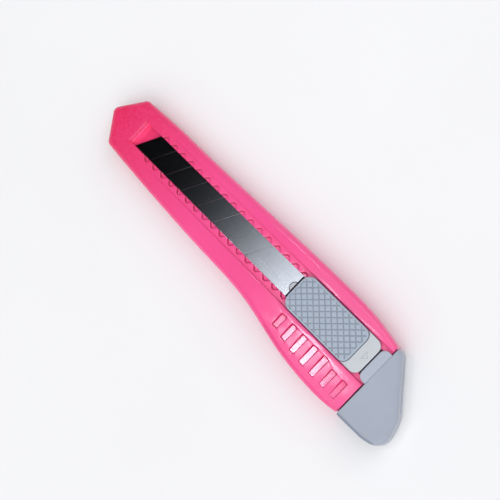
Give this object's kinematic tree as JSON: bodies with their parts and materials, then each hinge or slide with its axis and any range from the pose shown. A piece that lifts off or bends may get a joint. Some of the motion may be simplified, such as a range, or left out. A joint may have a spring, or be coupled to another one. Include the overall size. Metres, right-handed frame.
{
  "type": "snap-off craft knife",
  "caption": "Slim pocket craft knife: pink two-shell body, sliding snap-off steel blade, grey thumb slide with textured press pad, pull-off end cap.",
  "frame": {"origin": "on the flat back face, under the blade's centre line, half way along the knife", "axes": "+X towards the nose where the blade comes out, +Y towards the finger side of the handle, +Z out of the front face with the window"},
  "size_m": [0.181, 0.0389, 0.0137],
  "materials": {
    "body_pink": "glossy moulded ABS",
    "blade_steel": "fine ground, nearly mirror bright",
    "slide_grey": "satin moulded",
    "pad_grey": "satin, diamond texture",
    "spring_steel": "blued",
    "cap_grey": "satin moulded"
  },
  "bodies": {
    "housing": {"upper_housing": "body_pink", "lower_housing": "body_pink"},
    "slider": {"thumb_slide": "slide_grey", "blade_carrier": "slide_grey", "blade": "blade_steel", "lock_spring": "spring_steel"},
    "pad": {"grip_pad": "pad_grey"},
    "cap": {"end_cap": "cap_grey"}
  },
  "joints": [
    {"name": "slider_travel", "type": "slide", "parent": "housing", "child": "slider", "axis": [1, 0, 0], "range_m": [0, 0.08959]},
    {"name": "pad_press", "type": "slide", "parent": "slider", "child": "pad", "axis": [0, 0, -1], "range_m": [0, 0.0008], "stiffness_N_per_m": 2000, "springref_m": -0.0005, "deforming": ["lock_spring"]},
    {"name": "cap_pull", "type": "slide", "parent": "housing", "child": "cap", "axis": [-1, 0, 0], "range_m": [0, 0.03]}
  ]
}
